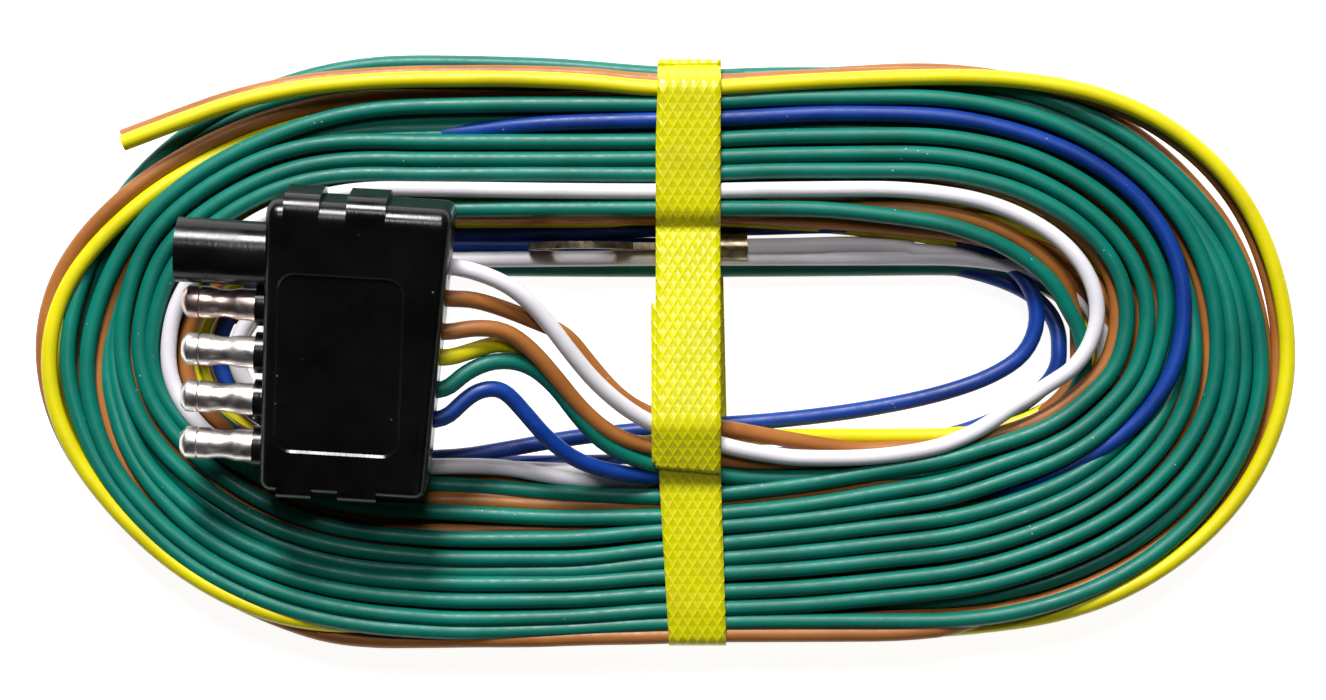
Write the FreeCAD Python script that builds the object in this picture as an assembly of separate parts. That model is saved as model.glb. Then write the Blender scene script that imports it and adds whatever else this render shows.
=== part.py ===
"""Five-way flat trailer wiring connector with its wire harness wound in a flat hank.

Millimetres, +Z up. The hank lies flat on Z = 0 with its long side along X, and
the moulded connector lies across its left half with the mating side towards -X.
The origin is the middle of the harness's box, at the surface that it lies on.
"""
import FreeCAD, Part
import math
import os

from FreeCAD import Placement, Rotation, Vector

# Wire
WIRE_R = 1.2                    # outside of the insulation
CORE_R = 0.65                   # stranded copper
PAIR_H = 4 * WIRE_R             # a bonded pair standing on edge

# Connector, in its own frame: -x is the mating side, +y the socket end
POLE_Y = {"white": 12.5, "brown": 5.0, "yellow": -2.0, "green": -9.0, "blue": -16.0}
PIN_R = 2.3
PIN_REACH = 12.0                # bullet tip to the housing's mating face
SHROUD_R = 4.6
SHROUD_REACH = 12.9
SOCKET_RECESS = 0.8             # the metal socket starts this far inside the shroud's mouth
COLLAR_R = 2.95
COLLAR_REACH = 1.5
BODY_LENGTH = 25.0              # along the pins, at mid width
BODY_TAPER = 1.3                # the wire side leans by this at each end
BODY_WIDTH = 44.5
BODY_HEIGHT = 11.0
BODY_ROUND = 1.7
END_ROUND = 2.8                 # broad edges of the socket end
GRIP_DEPTH = 1.0
GRIPS = [(-10.0, -5.0), (-1.2, 4.3)]
PANEL = ((-10.6, 7.4), (-15.0, 11.4))    # sunk panel on the broad face
PANEL_DEPTH = 0.35
CONNECTOR_AT = Vector(-44.1, 0.75, 25.8)
CONNECTOR_TILT = 15.0           # the socket end is raised
CONNECTOR_YAW = -3.4

MATING_X = -BODY_LENGTH / 2
CRIMP_BACK = -2.0
CRIMP_FRONT = -8.0
STRIP_END = -1.0                # insulation starts here, behind the crimp barrels
CORE_SHOWN = 10.5               # the modelled conductors stop here, inside the housing

# Name, pole, sideways place in its terminal, sideways place where it leaves the housing
WIRES = [
    ("white", "white", 0.0, 12.4),
    ("brown_left", "brown", 1.25, 7.6),
    ("brown_right", "brown", -1.25, 2.6),
    ("yellow", "yellow", 0.0, -1.2),
    ("green", "green", 0.0, -6.1),
    ("blue", "blue", 0.0, -10.5),
]

# Each lead outside the housing, down to the top of the hank
LEAD_ROUTES = {
    "white": [(-23.5, 8.9, 27.0), (-17.6, 4.4, 26.2), (-12.8, -1.2, 23.8),
              (-9.3, -7.0, 20.8), (-6.0, -11.2, 17.8), (-2.2, -13.9, 13.2)],
    "brown_left": [(-24.5, 6.9, 25.0), (-18.6, 5.0, 22.6), (-13.4, 1.6, 20.4),
                   (-9.8, -3.6, 18.2), (-8.2, -8.8, 15.6), (-7.0, -13.8, 12.9)],
    "brown_right": [(-25.0, 2.9, 25.0), (-19.2, 0.6, 23.4), (-14.6, -3.8, 21.2),
                    (-11.3, -9.2, 18.8), (-7.6, -13.8, 16.4), (-2.6, -16.8, 12.9)],
    "yellow": [(-25.6, 0.0, 22.4), (-19.4, 0.4, 19.8), (-14.6, -2.6, 17.6),
               (-12.4, -8.0, 15.4), (-11.6, -13.4, 13.4)],
    "green": [(-26.4, -3.8, 23.3), (-20.9, -4.3, 22.2), (-16.9, -7.9, 20.2),
              (-13.8, -12.6, 18.0), (-9.6, -16.6, 15.8), (-4.6, -19.6, 12.8)],
    "blue": [(-26.6, -7.6, 22.8), (-21.6, -8.9, 21.4), (-18.0, -12.8, 19.2),
             (-14.4, -16.8, 17.2), (-10.2, -19.8, 15.2), (-5.6, -22.4, 12.8)],
}

# Hank: straight sides and half-ellipse ends
HANK_STRAIGHT = 39.5            # half the straight side
OUTER_END = (54.1, 43.6)        # half-axes of an end: along X, along Y
LANE = 2.4
HOLE_END = (22.0, 15.0)
HOLE_Y = 2.5
OUTER_LANES = 2                 # lanes outside that the yellow and brown pair fills
INNER_LANES = 1                 # lane inside that the blue and the white share
LAYER = 4.8
LAYERS = 3

# The blue wire's loose innermost turn, across the hole
BLUE_STRAND = [(-24.0, -16.4, 7.6), (-13.0, -12.9, 7.6), (0.0, -11.0, 7.8), (14.0, -10.5, 7.6),
               (26.0, -9.3, 7.4), (35.5, -7.9, 7.4), (43.0, -6.1, 7.5), (49.5, -3.7, 7.6),
               (54.3, -0.4, 7.7), (56.1, 5.0, 7.8), (54.3, 10.6, 7.8), (49.4, 14.4, 7.7), (43.0, 16.8, 7.6),
               (36.0, 18.8, 7.6)]

# Ground wire's end, with its ring terminal standing on edge inside the hank
RING_AT = Vector(-12.0, 15.4, 8.3)
RING_R = 8.0
STUD_R = 4.95
RING_PLATE = 1.0
TONGUE_W = 5.0
BARREL_R = 2.1
BARREL = (3.5, 12.5)
GROUND_CORE = (5.0, 14.5)
GROUND_ROUTE = [(12.7, 15.4, 8.3), (20.5, 15.5, 7.4), (29.0, 15.3, 5.0), (38.5, 13.8, 3.4),
                (48.0, 12.2, 3.2), (57.0, 11.2, 3.4)]

# Free cut end of the yellow and brown pair, on top of the hank
TAIL_YELLOW = [(-79.6, 30.6, 15.6), (-69.8, 34.8, 15.7), (-59.0, 37.7, 15.8), (-47.5, 39.4, 15.7),
               (-36.5, 40.5, 15.0), (-26.5, 40.2, 12.8)]
TAIL_BROWN = [(-80.4, 33.0, 15.7), (-70.6, 37.1, 15.8), (-59.6, 40.1, 15.7), (-47.8, 41.8, 15.2),
              (-37.0, 42.3, 12.9)]

# Tape round the middle of the hank
TAPE_X = (-1.0, 8.5)
TAPE_T = 0.45

CONNECTOR = Placement(CONNECTOR_AT, Rotation(Vector(0, 0, 1), CONNECTOR_YAW)
                      * Rotation(Vector(1, 0, 0), CONNECTOR_TILT))


def box(x, y, z):
    """A box from three (low, high) spans."""
    size = [high - low for low, high in (x, y, z)]
    return Part.makeBox(*size, Vector(x[0], y[0], z[0]))


def rod(radius, x0, x1, y=0.0, z=0.0):
    """A cylinder along x."""
    return Part.makeCylinder(radius, x1 - x0, Vector(x0, y, z), Vector(1, 0, 0))


def path(points, name):
    """Straight runs through the points, joined by tangent arcs."""
    points = [Vector(*p) for p in points]
    edges, start, radii = [], points[0], []
    for a, b, c in zip(points, points[1:], points[2:]):
        into, out = (b - a), (c - b)
        turn = into.getAngle(out)
        cut = 0.45 * min(into.Length, out.Length)
        radii.append(cut / math.tan(turn / 2))
        first = b - into.normalize() * cut
        last = b + out.normalize() * cut
        half = (first + last) * 0.5
        sag = radii[-1] * (1 / math.cos(turn / 2) - 1)
        middle = b + (half - b).normalize() * sag
        edges += [Part.LineSegment(start, first).toShape(), Part.Arc(first, middle, last).toShape()]
        start = last
    edges.append(Part.LineSegment(start, points[-1]).toShape())
    print(name, "arc radii", [round(r, 1) for r in radii])
    return Part.Wire(edges)


def tube(wire, radius):
    """A round solid along a path."""
    first = wire.Edges[0]
    start = first.valueAt(first.FirstParameter)
    ring = Part.Wire(Part.makeCircle(radius, start, first.tangentAt(first.FirstParameter)))
    solid = wire.makePipeShell([ring], True, False)
    expected = math.pi * radius**2 * wire.Length
    assert abs(solid.Volume / expected - 1) < 0.01, (solid.Volume, expected)
    return solid


def outline(end, y=0.0):
    """A racetrack outline at z = 0: two straight sides and two half ellipses."""
    along, across = end
    right = Part.Ellipse(Vector(HANK_STRAIGHT, y, 0), along, across)
    left = Part.Ellipse(Vector(-HANK_STRAIGHT, y, 0), along, across)
    quarter = math.pi / 2
    edges = [
        Part.Arc(right, -quarter, quarter).toShape(),
        Part.LineSegment(Vector(HANK_STRAIGHT, y + across, 0),
                         Vector(-HANK_STRAIGHT, y + across, 0)).toShape(),
        Part.Arc(left, quarter, 3 * quarter).toShape(),
        Part.LineSegment(Vector(-HANK_STRAIGHT, y - across, 0),
                         Vector(HANK_STRAIGHT, y - across, 0)).toShape(),
    ]
    return Part.Wire(edges)


def inset(end, lanes):
    """An end's half-axes, a number of lanes further in; negative is outwards."""
    return tuple(axis - lanes * LANE for axis in end)


def ring(outer, inner, z0, z1):
    """The space between two outlines, over a height."""
    rise = Vector(0, 0, z1 - z0)
    return Part.Face(outer).extrude(rise).cut(Part.Face(inner).extrude(rise)).translated(Vector(0, 0, z0))


def sharp_edges(shape):
    """Edges where two faces meet at a clear angle."""
    found = []
    for edge in shape.Edges:
        faces = [f for f in shape.Faces if any(e.isSame(edge) for e in f.Edges)]
        middle = edge.valueAt((edge.FirstParameter + edge.LastParameter) / 2)
        normals = [f.normalAt(*f.Surface.parameter(middle)) for f in faces]
        if len(normals) == 2 and normals[0].getAngle(normals[1]) > 0.4:
            found.append(edge)
    return found


def body_block(width):
    """The housing's rounded block; its wire side leans."""
    half = width / 2
    lean = BODY_TAPER * half / (BODY_WIDTH / 2)
    corners = [(MATING_X, -half), (-MATING_X - lean, -half),
               (-MATING_X + lean, half), (MATING_X, half)]
    corners = [Vector(x, y, -BODY_HEIGHT / 2) for x, y in corners]
    block = Part.Face(Part.makePolygon(corners + corners[:1])).extrude(Vector(0, 0, BODY_HEIGHT))
    end = [e for e in block.Edges if min(v.Y for v in e.Vertexes) > half - 0.1
           and abs(e.tangentAt(e.FirstParameter).x) > 0.9]
    block = block.makeFillet(END_ROUND, end)
    return block.makeFillet(BODY_ROUND, sharp_edges(block))


def sunk_panel():
    """What is taken out of the broad face: a shallow pan with round corners and sloping sides."""
    floor = BODY_HEIGHT / 2 - PANEL_DEPTH
    pan = box(*PANEL, (floor, BODY_HEIGHT))
    corners = [e for e in pan.Edges if abs(e.tangentAt(e.FirstParameter).z) > 0.9]
    pan = pan.makeFillet(2.5, corners)
    foot = [e for e in pan.Edges if max(v.Z for v in e.Vertexes) < floor + 0.01]
    return pan.makeChamfer(PANEL_DEPTH * 0.98, foot)


def housing_outside():
    """Rounded body, finger grips on both ends, sunk panel, socket shroud and pin collars."""
    shape = body_block(BODY_WIDTH - 2 * GRIP_DEPTH)
    wide = body_block(BODY_WIDTH)
    for x in GRIPS:
        shape = shape.fuse(wide.common(box(x, (-BODY_WIDTH, BODY_WIDTH), (-9, 9))))
    shape = shape.cut(sunk_panel())
    for pole, y in POLE_Y.items():
        radius, reach = (SHROUD_R, SHROUD_REACH) if pole == "white" else (COLLAR_R, COLLAR_REACH)
        shape = shape.fuse(rod(radius, MATING_X - reach, 0, y))
    return shape.removeSplitter()


def crimp(y, pair=False):
    """Rear of a terminal: flange, neck and crimp barrel, with room for the copper."""
    shape = rod(3.0, -10.4, -9.4, y).fuse(rod(1.5, -9.4, CRIMP_FRONT, y))
    sides = [y - 1.25, y + 1.25] if pair else [y]
    shape = shape.fuse([rod(1.25, CRIMP_FRONT, CRIMP_BACK, side) for side in sides])
    if pair:
        shape = shape.fuse(box((CRIMP_FRONT, CRIMP_BACK), (y - 1.25, y + 1.25), (-1.25, 1.25)))
    return shape.cut([rod(CORE_R, -6.0, CRIMP_BACK, side) for side in sides])


def bullet(y, pair=False):
    """A bullet terminal: waisted barrel with a chamfered tip, and a crimp behind."""
    tip = MATING_X - PIN_REACH
    groove, waist = 0.12, 0.32
    profile = [(tip, 0), (tip, PIN_R - 0.7), (tip + 0.7, PIN_R), (tip + 2.3, PIN_R),
               (tip + 2.45, PIN_R - groove), (tip + 2.6, PIN_R), (tip + 4.0, PIN_R)]
    shoulder = MATING_X - COLLAR_REACH
    after = [(tip + 8.0, PIN_R), (shoulder, PIN_R), (shoulder, PIN_R - 0.4),
             (-10.4, PIN_R - 0.4), (-10.4, 0), (tip, 0)]
    profile = [Vector(x, r, 0) for x, r in profile]
    after = [Vector(x, r, 0) for x, r in after]
    edges = Part.makePolygon(profile).Edges
    edges.append(Part.Arc(profile[-1], Vector(tip + 6.0, PIN_R - waist, 0), after[0]).toShape())
    edges += Part.makePolygon(after).Edges
    barrel = Part.Face(Part.Wire(edges)).revolve(Vector(), Vector(1, 0, 0), 360)
    return barrel.translated(Vector(0, y, 0)).fuse(crimp(y, pair))


def socket(y):
    """The female terminal inside the shroud: a blind tube, and a crimp behind."""
    mouth = MATING_X - SHROUD_REACH + SOCKET_RECESS
    shape = rod(PIN_R + 0.5, mouth, -10.4, y).cut(rod(PIN_R, mouth, -11.4, y))
    return shape.fuse(crimp(y))


def lead_path(name, pole, side, leave):
    """A wire's path: out of its terminal, across the housing and along its route."""
    y = POLE_Y[pole]
    inside = [CONNECTOR.multVec(Vector(*p)) for p in
              ((-6.0, y + side, 0), (2.5, y + side, 0), (10.0, leave, 0))]
    return path([tuple(p) for p in inside] + LEAD_ROUTES[name], "lead_" + name)


def placed(shape):
    """A shape of the connector's own frame, in the harness."""
    return shape.transformed(CONNECTOR.toMatrix())


def clipped(shape, x0, x1):
    """The part of a placed shape between two stations along the connector."""
    return shape.common(placed(box((x0, x1), (-40, 40), (-20, 20))))


def ring_terminal():
    """Ring tongue on edge, with a crimp barrel towards +X."""
    disc = Part.makeCylinder(RING_R, RING_PLATE, RING_AT - Vector(0, RING_PLATE / 2, 0),
                             Vector(0, 1, 0))
    tongue = box((RING_AT.x, BARREL[0] + 1), (RING_AT.y - RING_PLATE / 2, RING_AT.y + RING_PLATE / 2),
                 (RING_AT.z - TONGUE_W / 2, RING_AT.z + TONGUE_W / 2))
    hole = Part.makeCylinder(STUD_R, 4 * RING_PLATE, RING_AT - Vector(0, 2 * RING_PLATE, 0),
                             Vector(0, 1, 0))
    barrel = rod(BARREL_R, *BARREL, RING_AT.y, RING_AT.z)
    core = rod(CORE_R, GROUND_CORE[0], BARREL[1] + 1, RING_AT.y, RING_AT.z)
    return disc.fuse([tongue, barrel]).cut([hole, core])


def coils():
    """The hank as nested and stacked closed rings, one for each wire or bonded pair."""
    outer, hole = outline(OUTER_END), outline(HOLE_END, HOLE_Y)
    within = outline(inset(OUTER_END, OUTER_LANES))
    around = outline(inset(HOLE_END, -INNER_LANES), HOLE_Y)
    top = LAYERS * LAYER
    base = ring(outer, hole, 0, LAYER)
    shapes = {
        "coil_yellow_brown": base.fuse(ring(outer, within, LAYER, top)).removeSplitter(),
        "coil_green_brown": ring(within, around, LAYER, top),
        "coil_white": ring(around, hole, LAYER, 2 * LAYER),
        "coil_blue": ring(around, hole, 2 * LAYER, top),
    }
    groove = box(TAPE_X, (-60, 60), (0, TAPE_T))
    shapes["coil_yellow_brown"] = shapes["coil_yellow_brown"].cut(groove)
    return shapes


def tape():
    """A closed band of tape, tight round the hank."""
    y, top = OUTER_END[1], LAYERS * LAYER
    band = box(TAPE_X, (-y - TAPE_T, y + TAPE_T), (0, top + TAPE_T))
    long_edges = [e for e in band.Edges if abs(e.tangentAt(e.FirstParameter).x) > 0.9]
    band = band.makeFillet(TAPE_T * 0.9, long_edges)
    return band.cut(box((TAPE_X[0] - 1, TAPE_X[1] + 1), (-y, y), (TAPE_T, top)))


def build():
    """Every piece of the harness, by node name."""
    nodes = coils()
    hank = list(nodes.values())

    terminals = {"socket_white": placed(socket(POLE_Y["white"]))}
    for pole in ("brown", "yellow", "green", "blue"):
        terminals["bullet_" + pole] = placed(bullet(POLE_Y[pole], pair=pole == "brown"))
    inside_housing = []
    for name, pole, side, leave in WIRES:
        wire = lead_path(name, pole, side, leave)
        core = clipped(tube(wire, CORE_R), -7.0, CORE_SHOWN)
        cover = clipped(tube(wire, WIRE_R), STRIP_END, 90)
        nodes["conductor_" + name] = core
        nodes["lead_" + name] = cover.cut([core] + hank)
        inside_housing += [clipped(tube(wire, WIRE_R), STRIP_END, 30), core]

    carrier = box((-11.0, CRIMP_FRONT - 0.2), (-18.5, 19.0), (-3.8, 3.8))
    carrier = placed(carrier.makeFillet(0.8, carrier.Edges)).cut(list(terminals.values()))
    mouth = MATING_X - SHROUD_REACH
    hollow = [rod(PIN_R + 0.3, mouth - 1, mouth + SOCKET_RECESS, POLE_Y["white"]),
              rod(PIN_R, mouth, -11.4, POLE_Y["white"])]
    overmould = placed(housing_outside())
    overmould = overmould.cut([carrier] + [placed(h) for h in hollow]
                              + list(terminals.values()) + inside_housing)
    nodes["terminal_carrier"] = carrier
    nodes["housing_overmould"] = overmould
    nodes.update(terminals)

    tail_wires = {"yellow": path(TAIL_YELLOW, "tail_yellow"), "brown": path(TAIL_BROWN, "tail_brown")}
    for name, wire in tail_wires.items():
        core = tube(wire, CORE_R).cut(hank)
        nodes["tail_conductor_" + name] = core
        nodes["tail_" + name] = tube(wire, WIRE_R).cut(hank + [core])

    nodes["inner_turn_blue"] = tube(path(BLUE_STRAND, "inner_turn_blue"), WIRE_R).cut(hank)
    ground = tube(path(GROUND_ROUTE, "ground_tail"), WIRE_R).cut(hank)
    ground_core = rod(CORE_R, *GROUND_CORE, RING_AT.y, RING_AT.z)
    nodes["ring_terminal"] = ring_terminal()
    nodes["ground_conductor"] = ground_core
    nodes["ground_tail"] = ground.cut(ground_core)
    nodes["binding_tape"] = tape()
    return nodes


def report(nodes):
    """Print volumes, the box and the mounts' places."""
    whole = Part.makeCompound(list(nodes.values())).BoundBox
    print("box", whole)
    for name, shape in sorted(nodes.items()):
        low = shape.BoundBox.ZMin
        print(f"{name:24s} {shape.isValid()} solids {len(shape.Solids)} "
              f"volume {shape.Volume:9.1f} zmin {low:6.2f}")
    axis = CONNECTOR.Rotation.multVec(Vector(-1, 0, 0))
    print("connector axis", axis, "up", CONNECTOR.Rotation.multVec(Vector(0, 0, 1)))
    pin_middle = MATING_X - (PIN_REACH - 0.7 + COLLAR_REACH) / 2
    socket_middle = (MATING_X - SHROUD_REACH + SOCKET_RECESS - 11.4) / 2
    for pole, y in POLE_Y.items():
        x = socket_middle if pole == "white" else pin_middle
        print("pole", pole, CONNECTOR.multVec(Vector(x, y, 0)))


def main():
    os.makedirs("parts", exist_ok=True)
    nodes = build()
    for name, shape in nodes.items():
        shape.exportStep(f"parts/{name}.step")
    report(nodes)


main()
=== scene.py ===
"""Looks of a flat trailer connector and its hank of wires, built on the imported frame."""
import math
import random

import bpy
from mathutils import Matrix, Vector


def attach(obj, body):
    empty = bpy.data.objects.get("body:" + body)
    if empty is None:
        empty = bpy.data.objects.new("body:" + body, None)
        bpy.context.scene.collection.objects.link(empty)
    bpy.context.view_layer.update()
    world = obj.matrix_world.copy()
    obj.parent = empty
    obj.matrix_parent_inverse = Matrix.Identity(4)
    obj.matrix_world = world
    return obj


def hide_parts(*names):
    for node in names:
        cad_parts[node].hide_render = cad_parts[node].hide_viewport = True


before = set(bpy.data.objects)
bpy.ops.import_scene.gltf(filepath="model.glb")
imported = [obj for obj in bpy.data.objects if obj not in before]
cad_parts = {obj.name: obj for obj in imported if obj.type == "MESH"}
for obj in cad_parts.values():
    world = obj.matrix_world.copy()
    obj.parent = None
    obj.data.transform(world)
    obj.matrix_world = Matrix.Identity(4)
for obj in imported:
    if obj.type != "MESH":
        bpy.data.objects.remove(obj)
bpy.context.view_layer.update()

MM = 0.001
WIRE_D = 2.4                    # millimetres, as every length here until it meets MM
WIRE_R = WIRE_D / 2
BOND = 2.36                     # middle to middle of two bonded wires
STEPS_PER_TURN = 80
rng = random.Random(639)


# ---------------------------------------------------------------- materials

def new_material(name):
    """A node material: its nodes, its links, its shader."""
    material = bpy.data.materials.new(name)
    material.use_nodes = True
    nodes, links = material.node_tree.nodes, material.node_tree.links
    return material, nodes, links, nodes["Principled BSDF"]


def noise(nodes, links, scale, detail=3.0, stretch=(1, 1, 1)):
    """Noise in the object's own space; the scale is in cells per metre."""
    where = nodes.new("ShaderNodeTexCoord")
    squeeze = nodes.new("ShaderNodeMapping")
    squeeze.inputs["Scale"].default_value = stretch
    texture = nodes.new("ShaderNodeTexNoise")
    texture.inputs["Scale"].default_value = scale
    texture.inputs["Detail"].default_value = detail
    links.new(where.outputs["Object"], squeeze.inputs["Vector"])
    links.new(squeeze.outputs["Vector"], texture.inputs["Vector"])
    return texture.outputs["Fac"]


def ramp(nodes, links, source, stops):
    """Colours or greys along a source; stops are (place, colour or grey)."""
    node = nodes.new("ShaderNodeValToRGB")
    elements = node.color_ramp.elements
    while len(elements) < len(stops):
        elements.new(0.5)
    for element, (place, colour) in zip(elements, stops):
        element.position = place
        if isinstance(colour, float):
            colour = (colour, colour, colour)
        element.color = (*colour, 1.0)
    links.new(source, node.inputs["Fac"])
    return node.outputs["Color"]


def bump(nodes, links, shader, source, strength, distance):
    """Fine relief from a texture."""
    node = nodes.new("ShaderNodeBump")
    node.inputs["Strength"].default_value = strength
    node.inputs["Distance"].default_value = distance
    links.new(source, node.inputs["Height"])
    links.new(node.outputs["Normal"], shader.inputs["Normal"])


def specks(nodes, links, base, colour, scale, size):
    """Sparse dust over a base colour."""
    where = nodes.new("ShaderNodeTexCoord")
    cells = nodes.new("ShaderNodeTexVoronoi")
    cells.inputs["Scale"].default_value = scale
    links.new(where.outputs["Object"], cells.inputs["Vector"])
    dots = ramp(nodes, links, cells.outputs["Distance"], [(size * 0.6, 1.0), (size, 0.0)])
    few = ramp(nodes, links, noise(nodes, links, scale * 0.21), [(0.62, 0.0), (0.66, 1.0)])
    both = nodes.new("ShaderNodeMath")
    both.operation = "MULTIPLY"
    links.new(dots, both.inputs[0])
    links.new(few, both.inputs[1])
    mix = nodes.new("ShaderNodeMix")
    mix.data_type = "RGBA"
    mix.inputs["B"].default_value = (*colour, 1.0)
    links.new(both.outputs[0], mix.inputs["Factor"])
    links.new(base, mix.inputs["A"])
    return mix.outputs["Result"]


def pvc(name, deep, plain, pale, roughness=0.42):
    """Extruded wire insulation: slow colour drift, faint scuffs and dust."""
    material, nodes, links, shader = new_material(name)
    drift = noise(nodes, links, 90.0, 4.0)
    colour = ramp(nodes, links, drift, [(0.3, deep), (0.5, plain), (0.72, pale)])
    colour = specks(nodes, links, colour, (0.4, 0.42, 0.36), 900.0, 0.13)
    links.new(colour, shader.inputs["Base Color"])
    rough = ramp(nodes, links, noise(nodes, links, 700.0, 5.0),
                 [(0.3, roughness - 0.06), (0.7, roughness + 0.1)])
    links.new(rough, shader.inputs["Roughness"])
    shader.inputs["Specular IOR Level"].default_value = 0.35
    bump(nodes, links, shader, noise(nodes, links, 2600.0, 2.0), 0.05, 0.0002)
    return material


GREEN = pvc("green_insulation", (0.0, 0.115, 0.082), (0.0, 0.145, 0.105), (0.0, 0.175, 0.128))
BROWN = pvc("brown_insulation", (0.27, 0.09, 0.016), (0.34, 0.122, 0.026), (0.4, 0.15, 0.036))
YELLOW = pvc("yellow_insulation", (0.6, 0.51, 0.001), (0.68, 0.6, 0.001), (0.74, 0.66, 0.002))
BLUE = pvc("blue_insulation", (0.001, 0.022, 0.16), (0.002, 0.035, 0.24), (0.004, 0.048, 0.3))
WHITE = pvc("white_insulation", (0.66, 0.63, 0.68), (0.74, 0.71, 0.76), (0.8, 0.77, 0.82))


def housing_material():
    """Glossy moulded plastic: satin patches, fine scratches along the body, dust."""
    material, nodes, links, shader = new_material("housing_plastic")
    colour = ramp(nodes, links, noise(nodes, links, 120.0, 5.0),
                  [(0.35, (0.002, 0.002, 0.0024)), (0.7, (0.005, 0.005, 0.0056))])
    colour = specks(nodes, links, colour, (0.22, 0.22, 0.2), 620.0, 0.12)
    links.new(colour, shader.inputs["Base Color"])
    rough = ramp(nodes, links, noise(nodes, links, 260.0, 6.0), [(0.3, 0.17), (0.7, 0.3)])
    links.new(rough, shader.inputs["Roughness"])
    shader.inputs["Specular IOR Level"].default_value = 0.3
    scratches = noise(nodes, links, 500.0, 8.0, (6.0, 0.5, 1.0))
    bump(nodes, links, shader, scratches, 0.1, 0.0003)
    return material


def carrier_material():
    """Matt moulded plastic inside the housing."""
    material, nodes, links, shader = new_material("carrier_plastic")
    colour = ramp(nodes, links, noise(nodes, links, 300.0, 5.0),
                  [(0.3, (0.012, 0.012, 0.012)), (0.7, (0.035, 0.035, 0.034))])
    links.new(colour, shader.inputs["Base Color"])
    shader.inputs["Roughness"].default_value = 0.6
    bump(nodes, links, shader, noise(nodes, links, 1500.0), 0.3, 0.0002)
    return material


def plated(name, dark, bright, low, high):
    """Plated metal, with a drift of colour, a drawn grain round it and small dull spots."""
    material, nodes, links, shader = new_material(name)
    colour = ramp(nodes, links, noise(nodes, links, 420.0, 5.0), [(0.35, dark), (0.62, bright)])
    links.new(colour, shader.inputs["Base Color"])
    shader.inputs["Metallic"].default_value = 1.0
    rough = ramp(nodes, links, noise(nodes, links, 900.0, 4.0), [(0.3, low), (0.7, high)])
    links.new(rough, shader.inputs["Roughness"])
    bump(nodes, links, shader, noise(nodes, links, 700.0, 3.0, (1.0, 0.25, 0.25)), 0.08, 0.0003)
    return material


CELL_ACROSS = 1.45              # the tape's diamonds, in millimetres
CELL_ALONG = 2.45


def tape_material():
    """Glossy tape with a diamond lattice pressed into it, in millimetres of its own UVs, and the
    lattice's light and shade painted into its colour.
    """
    material, nodes, links, shader = new_material("embossed_tape")
    uv = nodes.new("ShaderNodeTexCoord")
    parts = nodes.new("ShaderNodeSeparateXYZ")
    links.new(uv.outputs["UV"], parts.inputs[0])

    def maths(operation, a, b=None):
        node = nodes.new("ShaderNodeMath")
        node.operation = operation
        for socket, value in zip(node.inputs, (a, b)):
            if isinstance(value, (int, float)):
                socket.default_value = value
            elif value is not None:
                links.new(value, socket)
        return node.outputs[0]

    across = maths("DIVIDE", parts.outputs["X"], CELL_ACROSS)
    along = maths("DIVIDE", parts.outputs["Y"], CELL_ALONG)
    ridges = []
    for operation in ("ADD", "SUBTRACT"):
        diagonal = maths(operation, across, along)
        distance = maths("PINGPONG", diagonal, 0.5)
        ridges.append(distance)
    lattice = maths("MINIMUM", *ridges)
    height = ramp(nodes, links, lattice, [(0.0, 1.0), (0.1, 0.55), (0.3, 0.12), (0.5, 0.0)])
    # Painted light and shade: the colour is paler on the lattice's ridges and darker in the cells
    # between them
    painted_relief_light = ramp(nodes, links, lattice, [(0.0, (0.72, 0.68, 0.012)), (0.12, (0.64, 0.61, 0.0)),
                                        (0.4, (0.56, 0.54, 0.0))])
    grime = ramp(nodes, links, noise(nodes, links, 160.0, 5.0), [(0.4, 0.0), (0.75, 0.5)])
    mix = nodes.new("ShaderNodeMix")
    mix.data_type = "RGBA"
    mix.inputs["B"].default_value = (0.42, 0.4, 0.01, 1)
    links.new(grime, mix.inputs["Factor"])
    links.new(painted_relief_light, mix.inputs["A"])
    links.new(mix.outputs["Result"], shader.inputs["Base Color"])
    rough = ramp(nodes, links, noise(nodes, links, 500.0, 4.0), [(0.3, 0.22), (0.7, 0.4)])
    links.new(rough, shader.inputs["Roughness"])
    bump(nodes, links, shader, height, 0.5, 0.00022)
    return material


HOUSING = housing_material()
CARRIER = carrier_material()
NICKEL = plated("bright_nickel", (0.72, 0.64, 0.62), (0.95, 0.91, 0.89), 0.26, 0.4)
WARM_NICKEL = plated("warm_nickel", (0.6, 0.44, 0.39), (0.85, 0.7, 0.65), 0.26, 0.4)
# The ring terminal's tinned brass, its colours darkened to paint the shade the ring lies in
TINNED_IN_PAINTED_SHADE = plated("tinned_brass_painted_shade", (0.12, 0.09, 0.05), (0.36, 0.29, 0.19), 0.25, 0.45)
COPPER = plated("bare_copper", (0.42, 0.16, 0.08), (0.8, 0.4, 0.25), 0.2, 0.38)
TAPE = tape_material()

NODE_MATERIALS = {
    "housing_overmould": HOUSING, "socket_white": HOUSING, "terminal_carrier": CARRIER,
    "ring_terminal": TINNED_IN_PAINTED_SHADE,
}
for name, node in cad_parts.items():
    if "conductor" in name:
        node.material_slots[0].material = COPPER
    elif name in NODE_MATERIALS:
        node.material_slots[0].material = NODE_MATERIALS[name]


# ------------------------------------------------------------ hank geometry

STRAIGHT = 39.5                 # half the straight side
END_RIGHT = 52.6                # half-axis of the right end, at the outermost lane's middle
END_LEFT = 51.6
END_WIDE = 41.2
MID_Y = -0.9
STRAIGHT_SHARE = 0.107          # half a straight side, as a share of a turn
FULLNESS = {(1, 1): 0.055, (1, -1): 0.0, (-1, 1): -0.01, (-1, -1): -0.055}  # by corner
GAP = 3.4                       # the lower layers hang back from the outermost turn here
GAP_AT = 0.29
GAP_SPREAD = 0.05
GAP_DEPTH = 14                  # lanes this far inwards have no gap
GAP_BELOW = 9.0
TAPE_X = 3.8
TAPE_LIFT = 0.55                # the tape's pass underneath lifts the wires this much
TAPE_LIFT_SPREAD = 14.0


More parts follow.
